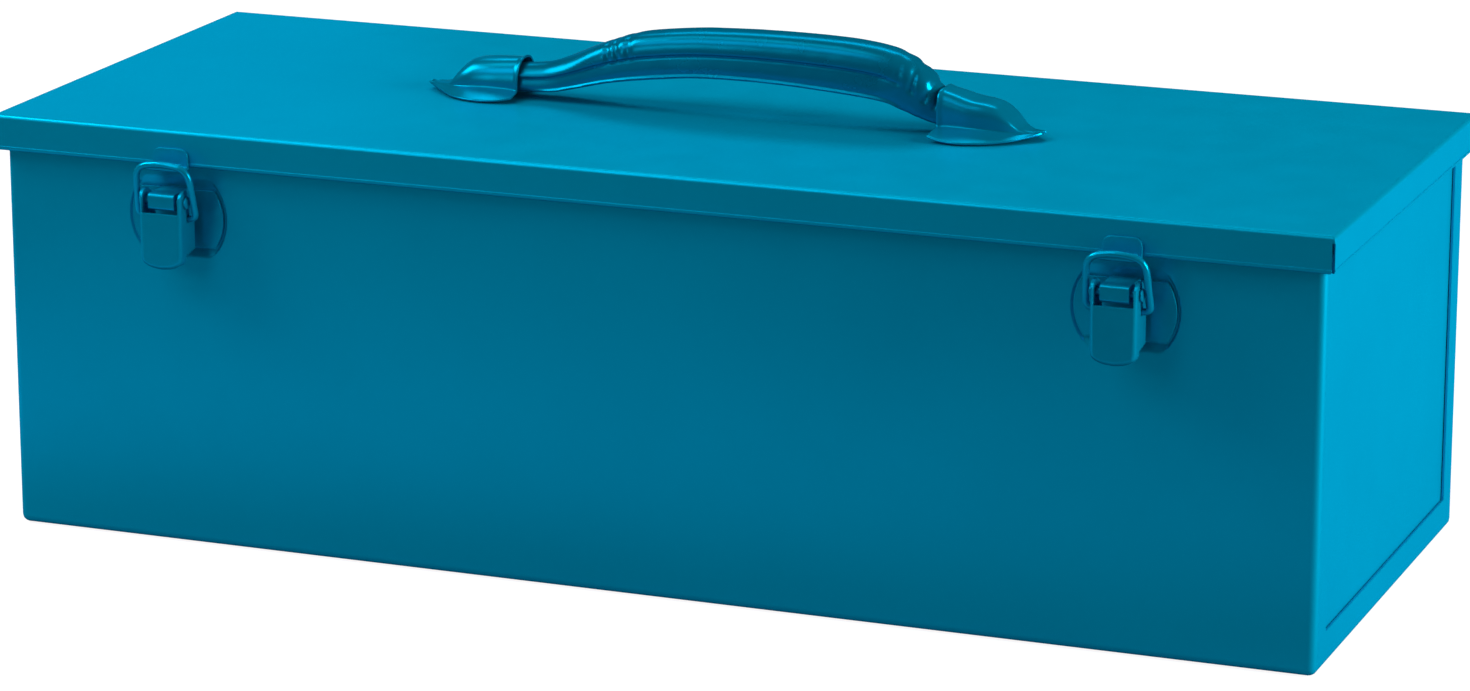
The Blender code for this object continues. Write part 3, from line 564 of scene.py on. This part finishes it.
def build_cap(name, node, mouth, side, stations, power):
    """A pressed end cap: squarish dome with a rolled mouth, a crease, a leaf-shaped flange and a
    lifted tip."""
    rest = LID_TOP + CAP_GAP

    def cap_point(u, v):
        place = u * (len(stations) - 1)
        run, crown, crease, half_width, flange, lift = station_at(stations, place)
        roll = CAP_ROLL_HEIGHT * hump(run - CAP_ROLL_PLACE, CAP_ROLL_WIDTH)
        crown += roll
        half_width += roll
        if v < CAP_FLANGE_SHARE or v > 1 - CAP_FLANGE_SHARE:
            share = min(v, 1 - v) / CAP_FLANGE_SHARE
            across = flange + (half_width - flange) * share
            up = lift + CAP_SHEET + (crease - lift - CAP_SHEET) * share
            across = across if v < 0.5 else -across
        else:
            turn = math.pi * (v - CAP_FLANGE_SHARE) / (1 - 2 * CAP_FLANGE_SHARE)
            c, s = math.cos(turn), math.sin(turn)
            radius = oval_radius(c, s, half_width, max(crown - crease, CAP_LEAST_RISE), power)
            across = radius * c
            up = crease + radius * s
        return mouth + side * run, across, rest + up

    cap = shaped_grid(name, CAP_COLUMNS, CAP_ROWS, cap_point)
    edit(cap, lambda: bpy.ops.mesh.normals_make_consistent(inside=False))
    top = max(cap.data.polygons, key=lambda face: face.center.z)
    if top.normal.z < 0:
        edit(cap, lambda: bpy.ops.mesh.flip_normals())
    apply_modifier(cap, "SOLIDIFY", thickness=CAP_SHEET, offset=-1.0, use_even_offset=False)
    apply_modifier(cap, "SUBSURF", levels=1, render_levels=1)
    bpy.ops.object.shade_smooth_by_angle(angle=math.radians(CAP_SHARP_ANGLE))
    stand_for(cap, node)


# Camera that was fitted to the case's straight edges in the photo: lens and sensor in mm, place,
# how far it looks down, and how far it is turned
CAMERA_LENS = 130.66
CAMERA_SENSOR = 36.0
CAMERA_PLACE = (0.6932, -1.7787, 0.5909)
CAMERA_DOWN = 15.296
CAMERA_TURN = 21.294
CAMERA_FAR = 200.0


def build_camera():
    """The photo's camera."""
    data = bpy.data.cameras.new("photo_camera")
    data.lens = CAMERA_LENS
    data.sensor_width = CAMERA_SENSOR
    data.clip_end = CAMERA_FAR
    camera = bpy.data.objects.new("photo_camera", data)
    camera.location = CAMERA_PLACE
    camera.rotation_euler = (math.radians(90 - CAMERA_DOWN), 0.0, math.radians(CAMERA_TURN))
    bpy.context.scene.collection.objects.link(camera)
    bpy.context.scene.camera = camera


ROOM_LIGHT = 0.05


def build_world():
    """Dim surroundings: most of the light comes from the soft boxes."""
    world = bpy.data.worlds.new("studio")
    bpy.context.scene.world = world
    world.use_nodes = True
    tree = world.node_tree
    tree.nodes.clear()
    room = add_node(tree, "ShaderNodeBackground", {
        "Color": linear("#FFFFFF"), "Strength": ROOM_LIGHT,
    })
    output = add_node(tree, "ShaderNodeOutputWorld")
    tree.links.new(room.outputs[0], output.inputs["Surface"])


FLOOR_SIZE = 60.0
FLOOR_LEVEL = -0.0004
FLOOR_GREY = "#767676"
# Glow that makes the floor white for the camera
FLOOR_WHITE = 0.92
# Light pool round the case, as gloss sees it: distance from the case and level there
POOL = ((0.0, 0.12), (0.06, 0.21), (0.14, 0.52), (0.26, 0.46), (0.38, 0.05), (0.60, 0.0))
POOL_TINT = "#C0DCFF"
CASE_HALF = (0.25, 0.10, 0.0)
# Between these two x the pool goes from the left share of its level to the right share
LEAN_LEFT = -0.45
LEAN_RIGHT = 0.35
LEAN_LEFT_SHARE = 1.35
LEAN_RIGHT_SHARE = 0.55
# Between these two y the even glow behind sets in
BACK_START = -0.20
BACK_FULL = 0.0
BACK_GLOW = 0.45


def build_floor():
    """A pale floor: white to the eye, and to gloss a cool pool of light round the case, brighter on
    the left, with an even glow from the case's middle backwards."""
    bpy.ops.object.select_all(action="DESELECT")
    bpy.ops.mesh.primitive_plane_add(size=FLOOR_SIZE, location=(0, 0, FLOOR_LEVEL))
    floor = bpy.context.object
    floor.name = "studio_floor"
    material, tree, output = new_material("white_studio_floor")
    place = add_node(tree, "ShaderNodeTexCoord").outputs["Object"]
    parts = add_node(tree, "ShaderNodeSeparateXYZ", {0: place})

    # Distance from the case's outline on the floor, and the pool's level there
    folded = add_node(tree, "ShaderNodeVectorMath", {0: place}, operation="ABSOLUTE")
    past = add_node(tree, "ShaderNodeVectorMath", {
        0: folded.outputs[0], 1: CASE_HALF,
    }, operation="SUBTRACT")
    outside = add_node(tree, "ShaderNodeVectorMath", {
        0: past.outputs[0], 1: (0.0, 0.0, 0.0),
    }, operation="MAXIMUM")
    reach = add_node(tree, "ShaderNodeVectorMath", {0: outside.outputs[0]}, operation="LENGTH")
    pool = add_node(tree, "ShaderNodeValToRGB", {"Fac": reach.outputs["Value"]})
    ramp = pool.color_ramp
    while len(ramp.elements) < len(POOL):
        ramp.elements.new(0.5)
    for element, (distance, level) in zip(ramp.elements, POOL):
        element.position = distance
        element.color = (level, level, level, 1.0)
    lean = add_node(tree, "ShaderNodeMapRange", {
        "Value": parts.outputs["X"], "From Min": LEAN_LEFT, "From Max": LEAN_RIGHT,
        "To Min": LEAN_LEFT_SHARE, "To Max": LEAN_RIGHT_SHARE,
    })
    leaning = add_node(tree, "ShaderNodeMath", {
        0: pool.outputs["Color"], 1: lean.outputs[0],
    }, operation="MULTIPLY")
    behind = add_node(tree, "ShaderNodeMapRange", {
        "Value": parts.outputs["Y"], "From Min": BACK_START, "From Max": BACK_FULL,
        "To Min": 0.0, "To Max": BACK_GLOW,
    }, interpolation_type="SMOOTHSTEP")
    pooled = add_node(tree, "ShaderNodeMath", {
        0: leaning.outputs[0], 1: behind.outputs[0],
    }, operation="MAXIMUM")

    # White for the camera and through glass, the pool and the back glow for gloss
    path = add_node(tree, "ShaderNodeLightPath").outputs
    shown = add_node(tree, "ShaderNodeMath", {
        0: path["Is Camera Ray"], 1: path["Is Transmission Ray"],
    }, operation="MAXIMUM")
    white = add_node(tree, "ShaderNodeMath", {
        0: shown.outputs[0], 1: FLOOR_WHITE,
    }, operation="MULTIPLY")
    mirrored = add_node(tree, "ShaderNodeMath", {
        0: path["Is Glossy Ray"], 1: pooled.outputs[0],
    }, operation="MULTIPLY")
    lift = add_node(tree, "ShaderNodeMath", {
        0: white.outputs[0], 1: mirrored.outputs[0],
    }, operation="MAXIMUM")
    fronted = add_node(tree, "ShaderNodeMath", {
        0: path["Is Glossy Ray"], 1: behind.outputs[0],
    }, operation="SUBTRACT", use_clamp=True)
    cool = add_node(tree, "ShaderNodeMix", {
        "Factor": fronted.outputs[0], "A": linear("#FFFFFF"), "B": linear(POOL_TINT),
    }, data_type="RGBA")
    glow = add_node(tree, "ShaderNodeEmission", {
        "Color": cool.outputs["Result"], "Strength": lift.outputs[0],
    })
    matt = add_node(tree, "ShaderNodeBsdfDiffuse", {"Color": linear(FLOOR_GREY)})
    both = add_node(tree, "ShaderNodeAddShader", {0: matt.outputs[0], 1: glow.outputs[0]})
    tree.links.new(both.outputs[0], output.inputs["Surface"])
    floor.data.materials.append(material)


# Soft boxes, all facing one point: name, place, width, height, watts, colour
LAMP_AIM = (0.0, 0.0, 0.10)
SOFT_BOXES = (
    ("right_box", (1.45, 0.0, 0.49), 0.7, 0.7, 27, "#FFFFFF"),
    ("left_box", (-1.11, -0.30, 1.06), 0.7, 0.7, 13.5, "#FFFFFF"),
    ("front_box", (-0.50, -0.90, 1.05), 0.6, 0.5, 3, "#DCEBFF"),
    ("low_box", (-0.45, -0.85, 0.40), 0.25, 0.25, 0.6, "#FFFFFF"),
    ("top_box", (-0.40, -0.30, 1.30), 0.9, 0.25, 2, "#FFFFFF"),
    ("back_box", (-0.30, 0.95, 1.20), 1.0, 0.4, 7, "#FFFFFF"),
    ("back_strip", (-1.10, 1.20, 0.50), 0.8, 0.3, 0.9, "#FFFFFF"),
)


def build_lamps():
    """The soft boxes, as rectangular area lamps."""
    for name, place, width, height, watts, colour in SOFT_BOXES:
        data = bpy.data.lights.new(name, "AREA")
        data.shape = "RECTANGLE"
        data.size = width
        data.size_y = height
        data.energy = watts
        data.color = linear(colour)[:3]
        lamp = bpy.data.objects.new(name, data)
        lamp.location = place
        facing = Vector(LAMP_AIM) - Vector(place)
        lamp.rotation_euler = facing.to_track_quat("-Z", "Y").to_euler()
        bpy.context.scene.collection.objects.link(lamp)


# Pieces that come left and right: name, edge rounding in mm, angle of a sharp edge, change of form
PAIRED_COPIES = (
    ("end_panel", 0.15, 30, None),
    ("latch_base", 0.15, 30, None),
    ("latch_pin", 0.0, 40, None),
    ("latch_lever", 0.25, 40, round_lever_tip),
    ("latch_bail", 0.0, 60, None),
    ("lid_catch", 0.12, 40, None),
    ("hinge_body_leaf", 0.12, 40, None),
    ("hinge_lid_leaf", 0.12, 40, None),
    ("hinge_pin", 0.0, 40, None),
)

finish_nodes()
for side in ("left", "right"):
    for name, round_mm, angle, shape in PAIRED_COPIES:
        smooth_copy(f"{name}_{side}", round_mm, angle, shape)
smooth_copy("body_wrap", 0.15, 30, fade_dimples)
smooth_copy("lid", 0.12, 30, roll_hem)
build_grip()
build_cap("cap_left_pressed", "handle_cap_left", CAP_LEFT_MOUTH, -1, CAP_LEFT, CAP_LEFT_POWER)
build_cap("cap_right_pressed", "handle_cap_right", CAP_RIGHT_MOUTH, 1, CAP_RIGHT, CAP_RIGHT_POWER)
build_camera()
build_world()
build_floor()
build_lamps()
bpy.context.scene.view_settings.view_transform = "Standard"
